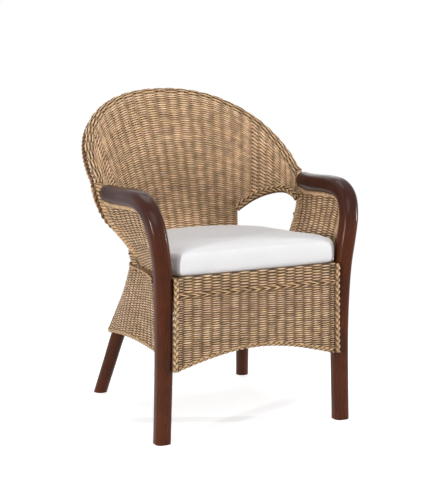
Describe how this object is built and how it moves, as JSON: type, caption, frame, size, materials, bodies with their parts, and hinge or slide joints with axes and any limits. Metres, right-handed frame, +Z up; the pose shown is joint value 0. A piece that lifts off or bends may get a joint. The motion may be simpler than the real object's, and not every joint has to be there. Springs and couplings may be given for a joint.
{
  "type": "woven rattan armchair",
  "caption": "Barrel-backed woven rattan armchair with bent wooden arms that run down into the front legs, open side windows, an arched woven skirt and a loose seat cushion.",
  "frame": {"origin": "on the floor, under the middle of the bounding box", "axes": "+Z up, the chair faces -Y, +X to the right as seen from the front"},
  "size_m": [0.6312, 0.6542, 0.8292],
  "materials": {
    "dark_wood": "dark red-brown stain under gloss lacquer",
    "rattan_pole": "natural rattan pole",
    "woven_rattan": "twisted fibre weave, natural brown",
    "braided_rattan": "twisted and braided fibre, natural light brown",
    "white_cloth": "off-white plain woven cover",
    "foam": "seat foam",
    "steel": "plain steel fixings and zip"
  },
  "bodies": {
    "chair": {"arch_braid_left": "braided_rattan", "arch_braid_right": "braided_rattan", "arm_and_leg_left": "dark_wood", "arm_and_leg_right": "dark_wood", "arm_panel_left": "woven_rattan", "arm_panel_right": "woven_rattan", "arm_pin_left": "steel", "arm_pin_right": "steel", "back_hoop": "rattan_pole", "back_post_left": "rattan_pole", "back_post_right": "rattan_pole", "corner_braid_left": "braided_rattan", "corner_braid_right": "braided_rattan", "front_hem_braid": "braided_rattan", "front_panel": "woven_rattan", "hoop_dowel_left": "rattan_pole", "hoop_dowel_right": "rattan_pole", "panel_braid_left": "braided_rattan", "panel_braid_right": "braided_rattan", "rail_dowel_left_1": "rattan_pole", "rail_dowel_left_2": "rattan_pole", "rail_dowel_right_1": "rattan_pole", "rail_dowel_right_2": "rattan_pole", "rear_leg_bolt_left": "steel", "rear_leg_bolt_right": "steel", "rear_leg_left": "dark_wood", "rear_leg_right": "dark_wood", "rim_braid": "braided_rattan", "seat_braid": "braided_rattan", "seat_deck": "woven_rattan", "seat_hoop": "rattan_pole", "seat_rail_front": "dark_wood", "seat_slat_1": "dark_wood", "seat_slat_2": "dark_wood", "seat_slat_3": "dark_wood", "skirt_hem_braid": "braided_rattan", "waling": "braided_rattan", "woven_back": "woven_rattan", "woven_skirt": "woven_rattan"},
    "cushion": {"cushion_cover": "white_cloth", "cushion_foam": "foam", "cushion_zip": "steel"}
  },
  "joints": [
    {"name": "cushion_lift", "type": "slide", "parent": "chair", "child": "cushion", "axis": [0, 0, 1], "range_m": [0, 0.45]}
  ]
}
